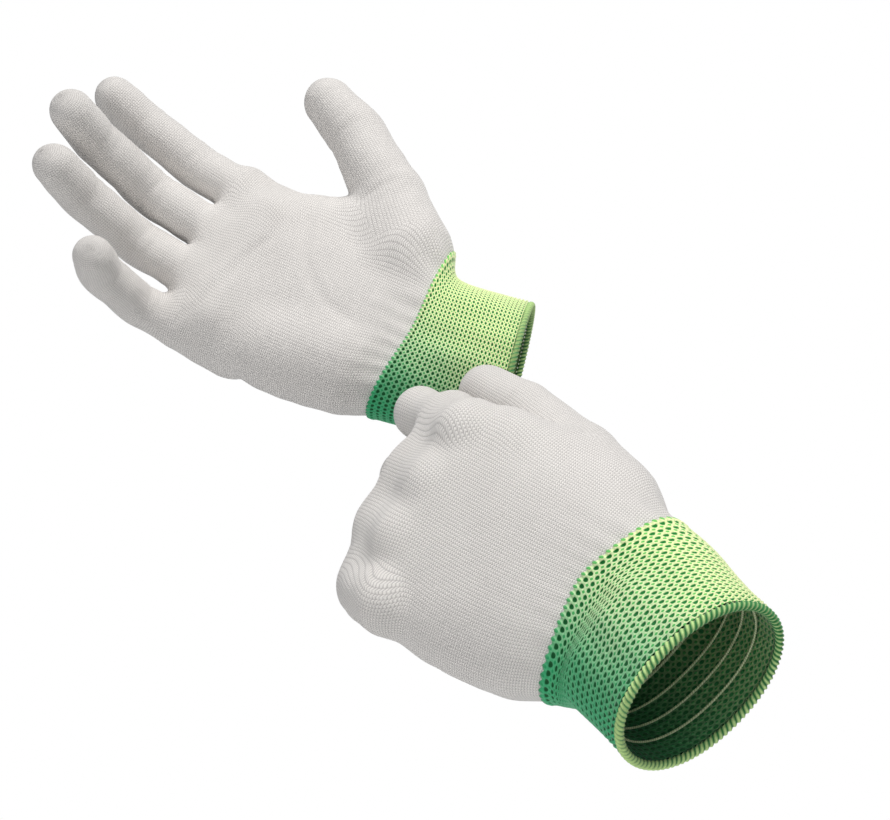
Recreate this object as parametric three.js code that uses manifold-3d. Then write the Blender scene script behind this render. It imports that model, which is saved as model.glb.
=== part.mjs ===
// Pair of thin seamless machine-knitted liner gloves in the shape a wearer gives them.
// Each glove is a hollow shell: overlocked hem, elastic knit cuff, palm with the thumb
// base, four-finger section, and jointed finger and thumb stalls.
// Frame, millimetres: the origin is the centre of the right cuff opening, +X points out
// of that opening, the right palm faces -Y and its thumb side is +Z.
// Glove-local axes: x toward the fingertips, z out of the palm, y across the hand
// (toward the thumb on the left glove, away from it on the right glove).
import * as THREE from "three";
import { mergeVertices } from "three/addons/utils/BufferGeometryUtils.js";
import Module from "manifold-3d";

const wasm = await Module();
wasm.setup();

// ---- driving dimensions (mm, degrees) --------------------------------------------
const WALL = 1.2; // worn knitted fabric
const GAP = 0.4; // clearance between neighbouring pieces
const CUFF_WALL = 1.5; // double-yarn elastic knit
const CUFF_LENGTH = 47; // yarn change to the opening, hem included
const HEM_LENGTH = 2.6; // overlocked edge
const HEM_STANDOUT = 0.5; // how much the overlocked edge stands out
const ELASTIC_RADIUS = 0.45; // laid-in elastic yarn
const ELASTIC_TURNS = 5;
const BORDER_AT = 18; // yarn change between cuff and hand, from the wrist crease
const FOLD_AT = 86; // knuckle fold of the hand
const WEB_AT = 113; // finger roots
const LITTLE_STEP = 8; // how far the little finger root sits back
const PALM_WIDTH = 83; // across the knuckles
const PALM_DEPTH = 31; // back to palm at the knuckles
const CUFF_WIDTH = 57; // at the opening
const CUFF_DEPTH = 44;
const WRIST_BLEND = 22; // length over which the cuff turns into its own direction
const HINGE_OFFSET = 5.3; // finger hinge line from the stall's centre line
const FOLD_OFFSET = 8.6; // knuckle fold line from the hand's middle plane
const THUMB_OFFSET = 6.6; // thumb hinge line from the thumb's centre line
const FOLD_MAX = 45;
const ROOT_MAX = 45;
const ROOT_BACK = 12;
const PIP_MAX = 90;
const DIP_MAX = 50;
const THUMB_ROOT_MAX = 50;
const THUMB_ROOT_BACK = 20;
const THUMB_TIP_MAX = 70;
const SEGMENTS = 14; // around a finger
const PALM_SEGMENTS = 30; // around the palm and the cuff

// Finger stalls: knuckle place (along, toward the thumb), fan angle, the three phalanges,
// half width and half depth at the root and half width at the tip.
const FINGERS = [
  { name: "index", along: 90, across: 28.6, fan: 4, bones: [45, 26, 24], wide: 9.4, deep: 10.4, tip: 8.6 },
  { name: "middle", along: 93, across: 9, fan: 0, bones: [48, 29, 24], wide: 9.4, deep: 10.4, tip: 8.6 },
  { name: "ring", along: 89, across: -10.2, fan: -3, bones: [45, 28, 25], wide: 9.2, deep: 10.1, tip: 8.4 },
  { name: "little", along: 80, across: -28.4, fan: -8, bones: [38, 22, 21], wide: 8.4, deep: 9.2, tip: 7.6 },
];
const THUMB = { base: [18, 20, 8], bones: [46, 33, 28], radii: [17, 13, 11.8, 10], web: 0.62 };

// Worn pose of each glove. side: +1 left, -1 right. hinge: +1 puts the finger hinges near
// the palm, -1 near the back of the hand.
const RIGHT = {
  prefix: "right_",
  side: -1,
  hinge: 1,
  wristAside: 11.5, // cuff turned toward the thumb side
  wristBack: 0, // cuff turned toward the back of the hand
  fold: 3,
  index: { root: -2, aside: 5, pip: 18 },
  middle: { root: 9, aside: 5, pip: 37 },
  ring: { root: 10, aside: 6, pip: 34 },
  little: { root: 15, aside: 0, pip: 49 },
  thumb: { aside: 45, out: -2, roll: 28, root: 10, tip: 13 },
};
const LEFT = {
  prefix: "left_",
  side: 1,
  hinge: -1,
  wristAside: -15,
  wristBack: 24,
  fold: 28,
  index: { root: 6, aside: -1, pip: 65 },
  middle: { root: 28, aside: 1, pip: 72 },
  ring: { root: 38, aside: 0, pip: 66 },
  little: { root: 36, aside: 2, pip: 60 },
  thumb: { aside: 27, out: 16, roll: -40, root: 16, tip: 8 },
};
const DIP_SHARE = 0.55; // fingertip bend as a share of the middle joint's bend

// Left glove placement: its wrist point in the part frame and its own axes there.
const LEFT_WRIST = [66.5, -86, -105.5];
const LEFT_FINGERWARD = [-0.901, 0.311, 0.304];
const LEFT_THUMBWARD = [0.268, -0.155, 0.951];

const KNIT_WHITE = { color: 0xdedad7, roughness: 0.9 };
const CUFF_GREEN = { color: 0x9fdc7a, roughness: 0.85 };
const HEM_GREEN = { color: 0x4f9d55, roughness: 0.88 };
const ELASTIC_CREAM = { color: 0xe6ecc8, roughness: 0.7 };

// ---- small helpers ----------------------------------------------------------------
const rad = THREE.MathUtils.degToRad;
const vec = (x, y, z) => new THREE.Vector3(x, y, z);

function smooth(t) {
  const c = THREE.MathUtils.clamp(t, 0, 1);
  return c * c * (3 - 2 * c);
}

// A solid from vertices and triangles; side -1 mirrors it across the hand.
function solidOf(points, triangles, side) {
  const vertices = new Float32Array(points.length * 3);
  points.forEach((p, i) => vertices.set([p.x, p.y * side, p.z], i * 3));
  const order = side > 0 ? [0, 1, 2] : [0, 2, 1];
  const indices = new Uint32Array(triangles.length * 3);
  triangles.forEach((t, i) => indices.set(order.map((k) => t[k]), i * 3));
  return new wasm.Manifold(
    new wasm.Mesh({ numProp: 3, vertProperties: vertices, triVerts: indices }),
  );
}

// Lofted solid through oval sections { at, u, v, a, b, n }: centre, two unit directions,
// half sizes and how square the oval is. Flat ends. u x v points along the loft.
function loft(sections, count, side) {
  const points = [];
  const triangles = [];
  for (const s of sections) {
    for (let i = 0; i < count; i += 1) {
      const t = (2 * Math.PI * i) / count;
      const c = Math.cos(t);
      const w = Math.sin(t);
      const x = Math.sign(c) * Math.abs(c) ** (2 / s.n) * s.a;
      const y = Math.sign(w) * Math.abs(w) ** (2 / s.n) * s.b;
      points.push(s.at.clone().addScaledVector(s.u, x).addScaledVector(s.v, y));
    }
  }
  for (let k = 0; k + 1 < sections.length; k += 1) {
    for (let i = 0; i < count; i += 1) {
      const j = (i + 1) % count;
      const a = k * count;
      triangles.push([a + i, a + j, a + count + j], [a + i, a + count + j, a + count + i]);
    }
  }
  const last = (sections.length - 1) * count;
  for (let i = 1; i + 1 < count; i += 1) {
    triangles.push([0, i + 1, i], [last, last + i, last + i + 1]);
  }
  return solidOf(points, triangles, side);
}

// Prism across the hand from an outline in the x-z plane.
function prism(outline, y0, y1, side) {
  const n = outline.length;
  const points = [];
  for (const y of [y0, y1]) {
    for (const [x, z] of outline) {
      points.push(vec(x, y, z));
    }
  }
  const triangles = [];
  for (let i = 0; i < n; i += 1) {
    const j = (i + 1) % n;
    triangles.push([i, j, n + j], [i, n + j, n + i]);
  }
  for (let i = 1; i + 1 < n; i += 1) {
    triangles.push([0, i + 1, i], [n, n + i, n + i + 1]);
  }
  return solidOf(points, triangles, side);
}

// Everything beyond a hinge line at x, leaving room to bend: palmMax toward the palm,
// backMax toward the back. way +1 removes the fingertip side, -1 the wrist side.
function hingeCut(x, palmMax, backMax, way, y0, y1, side) {
  const h = 60;
  const start = x - (way * GAP) / 2;
  const palm = start - way * h * Math.tan(rad(palmMax / 2));
  const back = start - way * h * Math.tan(rad(backMax / 2));
  const far = x + way * 2 * h;
  const outline = [[start, 0], [palm, h], [far, h], [far, -h], [back, -h]];
  const ordered = way > 0 ? outline : outline.reverse();
  return prism(ordered, y0, y1, side);
}

// The main body of a cut solid: thin leftovers beside a cut are dropped.
function mainBody(solid) {
  const bodies = solid.decompose();
  return bodies.reduce((a, b) => (b.volume() > a.volume() ? b : a));
}

function geometryOf(solid) {
  const mesh = mainBody(solid).getMesh();
  const geometry = new THREE.BufferGeometry();
  geometry.setAttribute("position", new THREE.BufferAttribute(mesh.vertProperties, 3));
  geometry.setIndex(new THREE.BufferAttribute(mesh.triVerts, 1));
  geometry.computeVertexNormals();
  return geometry;
}

function named(name, geometry, look) {
  const material = new THREE.MeshStandardMaterial({ ...look, metalness: 0 });
  material.name = name;
  const mesh = new THREE.Mesh(geometry, material);
  mesh.name = name;
  return mesh;
}

function joint(name, position, quaternion) {
  const group = new THREE.Group();
  group.name = name;
  group.position.copy(position);
  group.quaternion.copy(quaternion);
  return group;
}

const Y_AXIS = vec(0, 1, 0);
const Z_AXIS = vec(0, 0, 1);
const turn = (axis, degrees) => new THREE.Quaternion().setFromAxisAngle(axis, rad(degrees));
const flex = (degrees) => turn(Y_AXIS, -degrees);

// ---- hand and cuff cross-sections ---------------------------------------------------
// along the hand, half width, half depth, centre toward the thumb, centre toward the palm
const STATIONS = [
  [BORDER_AT, PALM_WIDTH * 0.41, PALM_DEPTH * 0.6, 0, 0.5],
  [34, PALM_WIDTH * 0.465, PALM_DEPTH * 0.59, -1, 1.5],
  [52, PALM_WIDTH * 0.497, PALM_DEPTH * 0.565, -1.4, 1.8],
  [70, PALM_WIDTH * 0.505, PALM_DEPTH * 0.525, -1, 1.2],
  [FOLD_AT, PALM_WIDTH * 0.5, PALM_DEPTH * 0.47, -0.4, 0.3],
  [98, PALM_WIDTH * 0.488, PALM_DEPTH * 0.42, 0.1, 0],
  [WEB_AT, PALM_WIDTH * 0.478, PALM_DEPTH * 0.345, 0.4, 0],
];

function handSize(x) {
  let k = 0;
  while (k + 2 < STATIONS.length && x > STATIONS[k + 1][0]) {
    k += 1;
  }
  const [a, b] = [STATIONS[k], STATIONS[k + 1]];
  const t = THREE.MathUtils.clamp((x - a[0]) / (b[0] - a[0]), 0, 1);
  return a.map((value, i) => value + (b[i] - value) * t);
}

function handSection(x, inset, y = 1) {
  const [, wide, deep, aside, out] = handSize(x);
  return {
    at: vec(x, aside * y, out),
    u: vec(0, 1, 0),
    v: vec(0, 0, 1),
    a: wide - inset,
    b: deep - inset,
    n: 2.35,
  };
}

function handLoft(places, inset, side) {
  return loft(places.map((x) => handSection(x, inset)), PALM_SEGMENTS, side);
}

// The cuff's centre line leaves the hand at the border and turns into its own direction.
function cuffFrame(glove, s) {
  const steps = 24;
  const at = vec(BORDER_AT, 0, 0.5);
  const direction = vec(-1, 0, 0);
  const aim = (t) => {
    const w = smooth(t / WRIST_BLEND);
    const aside = rad(glove.wristAside * w);
    const back = rad(glove.wristBack * w);
    return vec(-Math.cos(aside) * Math.cos(back), Math.sin(aside), -Math.cos(aside) * Math.sin(back));
  };
  for (let i = 0; i < steps; i += 1) {
    direction.copy(aim(((i + 0.5) / steps) * s));
    at.addScaledVector(direction, s / steps);
  }
  direction.copy(aim(s));
  const x = direction.clone().negate().normalize();
  const z = Z_AXIS.clone().addScaledVector(x, -x.z).normalize();
  const y = z.clone().cross(x);
  return { at, x, y, z };
}

// Oval section of the cuff, s from the border (0) to the opening (CUFF_LENGTH).
function cuffSection(glove, s, inset) {
  const frame = cuffFrame(glove, s);
  const t = s / CUFF_LENGTH;
  const ease = 1 - (1 - t) ** 2;
  const [, wide0, deep0] = handSize(BORDER_AT);
  const wide = wide0 + (CUFF_WIDTH / 2 - wide0) * ease;
  const deep = deep0 + (CUFF_DEPTH / 2 - deep0) * ease;
  const n = 2.35 - 0.25 * t;
  return { at: frame.at, u: frame.y, v: frame.z, a: wide - inset, b: deep - inset, n };
}

function cuffLoft(glove, from, to, inset, rings) {
  const sections = [];
  for (let i = 0; i <= rings; i += 1) {
    sections.push(cuffSection(glove, to + ((from - to) * i) / rings, inset));
  }
  return loft(sections, PALM_SEGMENTS, glove.side);
}

// ---- cuff pieces ---------------------------------------------------------------------
function cuffHem(glove) {
  const start = CUFF_LENGTH - HEM_LENGTH + GAP / 2;
  const outer = cuffLoft(glove, start, CUFF_LENGTH, -HEM_STANDOUT, 1);
  const inner = cuffLoft(glove, start - 1, CUFF_LENGTH + 1, CUFF_WALL, 2);
  return outer.subtract(inner);
}

function cuffTube(glove) {
  const end = CUFF_LENGTH - HEM_LENGTH - GAP / 2;
  const outer = cuffLoft(glove, GAP / 2, end, 0, 5);
  const inner = cuffLoft(glove, GAP / 2 - 0.6, end + 0.6, CUFF_WALL, 5);
  return outer.subtract(inner);
}

// Elastic yarn laid in a helix against the inside of the cuff.
function cuffElastic(glove) {
  const from = 5;
  const to = CUFF_LENGTH - HEM_LENGTH - 4;
  const inset = CUFF_WALL + 2 * GAP + ELASTIC_RADIUS;
  const perTurn = 18;
  const count = ELASTIC_TURNS * perTurn;
  const path = [];
  for (let i = 0; i <= count; i += 1) {
    const section = cuffSection(glove, from + ((to - from) * i) / count, inset);
    const t = (2 * Math.PI * i) / perTurn;
    const c = Math.cos(t);
    const w = Math.sin(t);
    const p = section.at.clone();
    p.addScaledVector(section.u, Math.sign(c) * Math.abs(c) ** (2 / section.n) * section.a);
    p.addScaledVector(section.v, Math.sign(w) * Math.abs(w) ** (2 / section.n) * section.b);
    path.push(vec(p.x, p.y * glove.side, p.z));
  }
  const round = new THREE.Shape();
  for (let i = 0; i < 5; i += 1) {
    const t = (2 * Math.PI * i) / 5;
    const x = ELASTIC_RADIUS * Math.cos(t);
    const y = ELASTIC_RADIUS * Math.sin(t);
    if (i === 0) {
      round.moveTo(x, y);
    } else {
      round.lineTo(x, y);
    }
  }
  round.closePath();
  const curve = new THREE.CatmullRomCurve3(path);
  const tube = new THREE.ExtrudeGeometry(round, {
    steps: count,
    bevelEnabled: false,
    extrudePath: curve,
  });
  tube.deleteAttribute("normal");
  tube.deleteAttribute("uv");
  const merged = mergeVertices(tube, 1e-4);
  merged.computeVertexNormals();
  return merged;
}

// ---- thumb ---------------------------------------------------------------------------
// Unit directions of the thumb's metacarpal: x along it, z toward the side it bends to.
function thumbFrame(glove) {
  const aside = rad(glove.thumb.aside);
  const out = rad(glove.thumb.out);
  const x = vec(Math.cos(aside) * Math.cos(out), Math.sin(aside) * Math.cos(out), Math.sin(out));
  const inward = vec(0, -1, 0).addScaledVector(x, x.y).normalize();
  const other = x.clone().cross(inward);
  if (other.z < 0) {
    other.negate();
  }
  const roll = rad(glove.thumb.roll);
  const z = inward.multiplyScalar(Math.cos(roll)).addScaledVector(other, Math.sin(roll));
  const y = z.clone().cross(x);
  return { x, y, z };
}

function thumbStub(glove, inset) {
  const { x, y, z } = thumbFrame(glove);
  const [r0, r1] = THUMB.radii;
  const length = THUMB.bones[0];
  const section = (t, radius) => ({
    at: vec(...THUMB.base).addScaledVector(x, t),
    u: y,
    v: z,
    a: radius - inset,
    b: radius - inset,
    n: 2,
  });
  const rows = [
    section(-r0 * 0.5 + inset, r0 * 0.62),
    section(0, r0 * 0.93),
    section(length * 0.4, r0 * 0.93),
    section(length * 0.75, (r0 + r1) * 0.47),
    section(length + 8, r1),
  ];
  return loft(rows.map((s) => ({ ...s, u: s.v, v: s.u.clone().negate() })), 24, glove.side);
}

// Skin between the thumb and the index side of the palm.
function thumbWeb(glove, inset) {
  const { x } = thumbFrame(glove);
  const from = vec(40, 26, 8);
  const tip = vec(...THUMB.base).addScaledVector(x, THUMB.bones[0] * THUMB.web);
  const to = tip.lerp(vec(66, 36, 6), 0.5);
  const along = to.clone().sub(from).normalize();
  const v = Z_AXIS.clone().addScaledVector(along, -along.z).normalize();
  const u = v.clone().cross(along);
  const section = (t, a, b) => ({
    at: from.clone().lerp(to, t),
    u,
    v,
    a: a - inset,
    b: b - inset,
    n: 2,
  });
  const end = 1 - inset / from.distanceTo(to);
  const rows = [section(-0.35, 12, 10), section(0.4, 14, 10), section(end, 11, 8)];
  return loft(rows, 20, glove.side);
}

function thumbPivot(glove) {
  const { x, z } = thumbFrame(glove);
  const p = vec(...THUMB.base).addScaledVector(x, THUMB.bones[0]);
  return p.addScaledVector(z, -THUMB_OFFSET * glove.hinge * -1);
}

// Orientation of a frame given by unit x, y, z, mirrored for the right glove.
function orientation({ x, y, z }, side) {
  const mirrored = (v) => vec(v.x, v.y * side, v.z);
  const mx = mirrored(x);
  const mz = mirrored(z);
  const my = mz.clone().cross(mx);
  return new THREE.Quaternion().setFromRotationMatrix(new THREE.Matrix4().makeBasis(mx, my, mz));
}

function placed(solid, position, quaternion) {
  const m = new THREE.Matrix4().compose(position, quaternion, vec(1, 1, 1));
  return solid.transform(m.elements);
}

// ---- palm ------------------------------------------------------------------------------
function palm(glove) {
  const { side, hinge } = glove;
  const start = BORDER_AT + GAP / 2;
  const places = [start, 34, 52, 70, FOLD_AT + 6];
  const outer = handLoft(places, 0, side).add(thumbStub(glove, 0)).add(thumbWeb(glove, 0));
  const inner = handLoft([start - 1, 34, 52, 70, FOLD_AT + 7], WALL, side)
    .add(thumbStub(glove, WALL))
    .add(thumbWeb(glove, WALL));
  const shell = outer.subtract(inner);
  const wristSide = prism([[start, 60], [start, -60], [-60, -60], [-60, 60]], -90, 90, side);
  const foldCut = hingeCut(0, FOLD_MAX, 0, 1, -90, 90, side);
  const fold = foldCut.translate([FOLD_AT, 0, FOLD_OFFSET * hinge]);
  const pivot = thumbPivot(glove);
  pivot.y *= side;
  const r = THUMB.radii[1] + 2;
  const cut = hingeCut(0, THUMB_ROOT_MAX, THUMB_ROOT_BACK, 1, -r, r, 1);
  const reach = prism([[-30, 24], [-30, -24], [30, -24], [30, 24]].reverse(), -r, r, 1);
  const thumbCut = placed(cut.intersect(reach), pivot, orientation(thumbFrame(glove), side));
  return shell.subtract(wristSide).subtract(fold).subtract(thumbCut);
}

// ---- four-finger section -------------------------------------------------------------------
function rootPlace(finger) {
  const web = finger.name === "little" ? WEB_AT - LITTLE_STEP : WEB_AT;
  const fan = rad(finger.fan);
  const travel = (web - finger.along) / Math.cos(fan);
  const across = finger.across + travel * Math.sin(fan);
  return { at: vec(web, across, 0), travel };
}

function stallSection(x, wide, deep, inset, centre) {
  return {
    at: vec(x, 0, centre),
    u: vec(0, 1, 0),
    v: vec(0, 0, 1),
    a: wide - inset,
    b: deep - inset,
    n: 2.1,
  };
}

// How a finger fans out in the hand's plane: its own fan angle and the worn spread.
function fanTurn(glove, finger) {
  return turn(Z_AXIS, (finger.fan + glove[finger.name].aside) * glove.side);
}

function fingerStub(glove, finger, inset) {
  const from = -26 + (finger.name === "little" ? LITTLE_STEP : 0);
  const rows = [
    stallSection(from, finger.wide - 1.2, finger.deep - 1.2, inset, 0),
    stallSection(0, finger.wide, finger.deep, inset, 0),
    stallSection(6, finger.wide, finger.deep, inset, 0),
  ];
  const place = rootPlace(finger).at;
  place.y *= glove.side;
  return placed(loft(rows, SEGMENTS, glove.side), place, fanTurn(glove, finger));
}

function upperPalm(glove) {
  const { side, hinge } = glove;
  let outer = handLoft([FOLD_AT - 8, 92, 98, WEB_AT - 9], 0, side);
  let inner = handLoft([FOLD_AT - 9, 92, 98, WEB_AT - 9.5], WALL, side);
  for (const finger of FINGERS) {
    outer = outer.add(fingerStub(glove, finger, 0));
    inner = inner.add(fingerStub(glove, finger, WALL));
  }
  let shell = outer.subtract(inner);
  const foldCut = hingeCut(0, FOLD_MAX, 0, -1, -90, 90, side);
  shell = shell.subtract(foldCut.translate([FOLD_AT, 0, FOLD_OFFSET * hinge]));
  FINGERS.forEach((finger, i) => {
    const left = i === 0 ? 40 : finger.wide + GAP;
    const right = i === 3 ? 40 : finger.wide + GAP;
    const cut = hingeCut(0, ROOT_MAX, ROOT_BACK, 1, -right, left, side);
    const place = rootPlace(finger).at;
    place.y *= side;
    place.z = HINGE_OFFSET * hinge;
    shell = shell.subtract(placed(cut, place, fanTurn(glove, finger)));
  });
  return shell.translate([-FOLD_AT, 0, -FOLD_OFFSET * hinge]);
}

// ---- finger stalls -----------------------------------------------------------------------------
// Open tube between two hinges, its hinge at the local origin.
function stallTube(glove, length, sizes, cuts, offset = HINGE_OFFSET) {
  const centre = -offset * glove.hinge;
  const over = 12;
  const tube = (inset, extra) => loft(
    [
      stallSection(-over - extra, sizes[0][0], sizes[0][1], inset, centre),
      stallSection(0, sizes[0][0], sizes[0][1], inset, centre),
      stallSection(length / 2, sizes[1][0], sizes[1][1], inset, centre),
      stallSection(length, sizes[2][0], sizes[2][1], inset, centre),
      stallSection(length + over + extra, sizes[2][0], sizes[2][1], inset, centre),
    ],
    SEGMENTS,
    glove.side,
  );
  const near = hingeCut(0, cuts[0][0], cuts[0][1], -1, -40, 40, glove.side);
  const far = hingeCut(length, cuts[1][0], cuts[1][1], 1, -40, 40, glove.side);
  return tube(0, 0).subtract(tube(WALL, 1)).subtract(near).subtract(far);
}

// Closed fingertip, its hinge at the local origin.
function stallTip(glove, length, wide, deep, tip, cut, offset = HINGE_OFFSET) {
  const centre = -offset * glove.hinge;
  const tube = (inset, extra) => {
    const rows = [
      stallSection(-12 - extra, wide, deep, inset, centre),
      stallSection(0, wide, deep, inset, centre),
    ];
    const round = tip - inset;
    const middle = length - tip;
    for (const a of [0, 30, 55, 72, 84]) {
      const c = Math.cos(rad(a));
      const x = middle + round * Math.sin(rad(a));
      rows.push(stallSection(x, round * c, round * c * (deep / wide), 0, centre));
    }
    return loft(rows, SEGMENTS, glove.side);
  };
  const near = hingeCut(0, cut[0], cut[1], -1, -40, 40, glove.side);
  return tube(0, 0).subtract(tube(WALL, 1)).subtract(near);
}

function addFinger(glove, upper, finger) {
  const pose = glove[finger.name];
  const { side, hinge, prefix } = glove;
  const { at, travel } = rootPlace(finger);
  const [b0, b1, b2] = finger.bones;
  const { wide, deep, tip } = finger;
  const w1 = wide + (tip - wide) * 0.5;
  const d1 = deep + (tip * 1.06 - deep) * 0.5;
  const w2 = wide + (tip - wide) * 0.8;
  const d2 = deep + (tip * 1.06 - deep) * 0.8;
  const mix = (a, b) => (a + b) / 2;
  const rootAt = vec(at.x - FOLD_AT, at.y * side, (HINGE_OFFSET - FOLD_OFFSET) * hinge);
  const turned = fanTurn(glove, finger).multiply(flex(pose.root));
  const root = joint(`${prefix}${finger.name}_root`, rootAt, turned);
  const length = b0 - travel;
  const base = stallTube(
    glove,
    length,
    [[wide, deep], [mix(wide, w1), mix(deep, d1)], [w1, d1]],
    [[ROOT_MAX, ROOT_BACK], [PIP_MAX, 0]],
  );
  root.add(named(`${prefix}${finger.name}_base`, geometryOf(base), KNIT_WHITE));
  const pip = joint(`${prefix}${finger.name}_pip`, vec(length, 0, 0), flex(pose.pip));
  const mid = stallTube(
    glove,
    b1,
    [[w1, d1], [mix(w1, w2), mix(d1, d2)], [w2, d2]],
    [[PIP_MAX, 0], [DIP_MAX, 0]],
  );
  pip.add(named(`${prefix}${finger.name}_mid`, geometryOf(mid), KNIT_WHITE));
  const dip = joint(`${prefix}${finger.name}_dip`, vec(b1, 0, 0), flex(pose.pip * DIP_SHARE));
  const end = stallTip(glove, b2, w2, d2, tip, [DIP_MAX, 0]);
  dip.add(named(`${prefix}${finger.name}_tip`, geometryOf(end), KNIT_WHITE));
  pip.add(dip);
  root.add(pip);
  upper.add(root);
}

function addThumb(glove, hand) {
  const { side, prefix, thumb } = glove;
  const pivot = thumbPivot(glove);
  pivot.y *= side;
  const [, b1, b2] = THUMB.bones;
  const [, r1, r2, r3] = THUMB.radii;
  const turned = orientation(thumbFrame(glove), side).multiply(flex(thumb.root));
  const root = joint(`${prefix}thumb_root`, pivot, turned);
  const base = stallTube(
    glove,
    b1,
    [[r1, r1], [(r1 + r2) / 2 - 0.3, (r1 + r2) / 2 - 0.3], [r2, r2]],
    [[THUMB_ROOT_MAX, THUMB_ROOT_BACK], [THUMB_TIP_MAX, 0]],
    THUMB_OFFSET,
  );
  root.add(named(`${prefix}thumb_base`, geometryOf(base), KNIT_WHITE));
  const ip = joint(`${prefix}thumb_ip`, vec(b1, 0, 0), flex(thumb.tip));
  const end = stallTip(glove, b2, r2, r2, r3, [THUMB_TIP_MAX, 0], THUMB_OFFSET);
  ip.add(named(`${prefix}thumb_tip`, geometryOf(end), KNIT_WHITE));
  root.add(ip);
  hand.add(root);
}

// ---- a whole glove ---------------------------------------------------------------------------------
function makeGlove(glove) {
  const { prefix, hinge } = glove;
  const hand = new THREE.Group();
  hand.name = `${prefix}hand`;
  hand.add(named(`${prefix}cuff_hem`, geometryOf(cuffHem(glove)), HEM_GREEN));
  hand.add(named(`${prefix}cuff`, geometryOf(cuffTube(glove)), CUFF_GREEN));
  hand.add(named(`${prefix}cuff_elastic`, cuffElastic(glove), ELASTIC_CREAM));
  hand.add(named(`${prefix}palm`, geometryOf(palm(glove)), KNIT_WHITE));
  const fold = joint(`${prefix}fold`, vec(FOLD_AT, 0, FOLD_OFFSET * hinge), flex(glove.fold));
  fold.add(named(`${prefix}upper_palm`, geometryOf(upperPalm(glove)), KNIT_WHITE));
  for (const finger of FINGERS) {
    addFinger(glove, fold, finger);
  }
  hand.add(fold);
  addThumb(glove, hand);
  return hand;
}

// Opening frame of a glove's cuff as a matrix in glove-local axes, z reversed so that
// its x axis points out of the cuff.
function openingMatrix(glove) {
  const { at, x, z } = cuffFrame(glove, CUFF_LENGTH);
  const mirrored = (v) => vec(v.x, v.y * glove.side, v.z);
  const out = mirrored(x).negate();
  const palmward = mirrored(z);
  const up = out.clone().cross(palmward);
  return new THREE.Matrix4()
    .makeBasis(out, palmward.clone().negate(), up.clone().negate())
    .setPosition(mirrored(at));
}

// The right cuff opening is the part frame: out of the cuff +X, out of the palm -Y.
function placeRight(hand) {
  const m = openingMatrix(RIGHT).invert();
  m.decompose(hand.position, hand.quaternion, hand.scale);
}

function placeLeft(hand) {
  const x = vec(...LEFT_FINGERWARD).normalize();
  const y = vec(...LEFT_THUMBWARD);
  y.addScaledVector(x, -y.dot(x)).normalize();
  const z = x.clone().cross(y);
  hand.quaternion.setFromRotationMatrix(new THREE.Matrix4().makeBasis(x, y, z));
  hand.position.set(...LEFT_WRIST);
}

const gloves = new THREE.Group();
gloves.name = "liner_gloves";
const rightHand = makeGlove(RIGHT);
placeRight(rightHand);
gloves.add(rightHand);
const leftHand = makeGlove(LEFT);
placeLeft(leftHand);
gloves.add(leftHand);

export default gloves;
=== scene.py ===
"""A pair of seamless knitted gloves with two-tone elastic cuffs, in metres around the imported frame."""
import math

import bpy
import numpy as np
from mathutils import Matrix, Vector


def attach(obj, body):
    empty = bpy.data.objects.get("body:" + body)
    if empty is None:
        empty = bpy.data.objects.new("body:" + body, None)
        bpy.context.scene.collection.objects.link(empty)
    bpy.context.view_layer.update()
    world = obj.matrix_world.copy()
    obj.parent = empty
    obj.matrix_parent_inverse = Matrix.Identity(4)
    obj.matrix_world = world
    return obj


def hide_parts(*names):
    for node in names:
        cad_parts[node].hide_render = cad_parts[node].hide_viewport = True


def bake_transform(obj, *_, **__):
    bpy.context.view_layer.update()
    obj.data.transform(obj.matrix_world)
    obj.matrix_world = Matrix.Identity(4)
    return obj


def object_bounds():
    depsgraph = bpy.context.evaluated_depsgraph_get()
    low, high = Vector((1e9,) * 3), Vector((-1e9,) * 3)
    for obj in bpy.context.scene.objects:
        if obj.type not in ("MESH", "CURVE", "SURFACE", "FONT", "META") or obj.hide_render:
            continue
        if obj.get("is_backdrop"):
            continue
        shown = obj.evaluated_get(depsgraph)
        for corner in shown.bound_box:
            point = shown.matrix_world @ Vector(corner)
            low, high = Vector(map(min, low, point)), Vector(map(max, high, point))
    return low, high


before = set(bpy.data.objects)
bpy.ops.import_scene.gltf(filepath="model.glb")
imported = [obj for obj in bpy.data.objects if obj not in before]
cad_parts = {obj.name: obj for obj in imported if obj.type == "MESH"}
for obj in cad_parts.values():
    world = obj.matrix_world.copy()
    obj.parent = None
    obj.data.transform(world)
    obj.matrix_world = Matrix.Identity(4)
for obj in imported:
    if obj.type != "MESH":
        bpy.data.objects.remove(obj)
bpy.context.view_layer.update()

MM = 0.001

# ---------------------------------------------------------------- sizes, mm and degrees
# Glove coordinates: x towards the fingertips from the wrist crease, y towards the thumb, z out of the palm.
BORDER_AT = 18.0
CUFF_LENGTH = 47.0
HEM_LENGTH = 2.6
CUFF_WALL = 1.5
FABRIC = 1.1
FOLD_AT = 86.0
WEB_AT = 113.0
LITTLE_STEP = 8.0
PALM_WIDTH = 83.0
PALM_DEPTH = 31.0
CUFF_HALF = (28.5, 22.0)
HINGE_OFFSET = 5.3
FOLD_OFFSET = 8.6
THUMB_OFFSET = 6.6
DIP_SHARE = 0.55
WRIST_BLEND = 22.0
# along, across, fan, bone lengths, half width, half depth, tip radius, fan while it is still straight
FINGERS = {
    "index": (90, 28.6, 4, (45, 26, 24), 9.4, 10.2, 8.6, 9),
    "middle": (93, 9, 0, (48, 29, 24), 9.4, 10.2, 8.6, 2),
    "ring": (89, -10.2, -3, (45, 28, 25), 9.2, 10.0, 8.4, -5),
    "little": (80, -28.4, -8, (38, 22, 21), 8.4, 9.1, 7.6, -13),
}
THUMB_BASE = np.array([18.0, 20.0, 8.0])
THUMB_BONES = (46.0, 33.0, 28.0)
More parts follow.
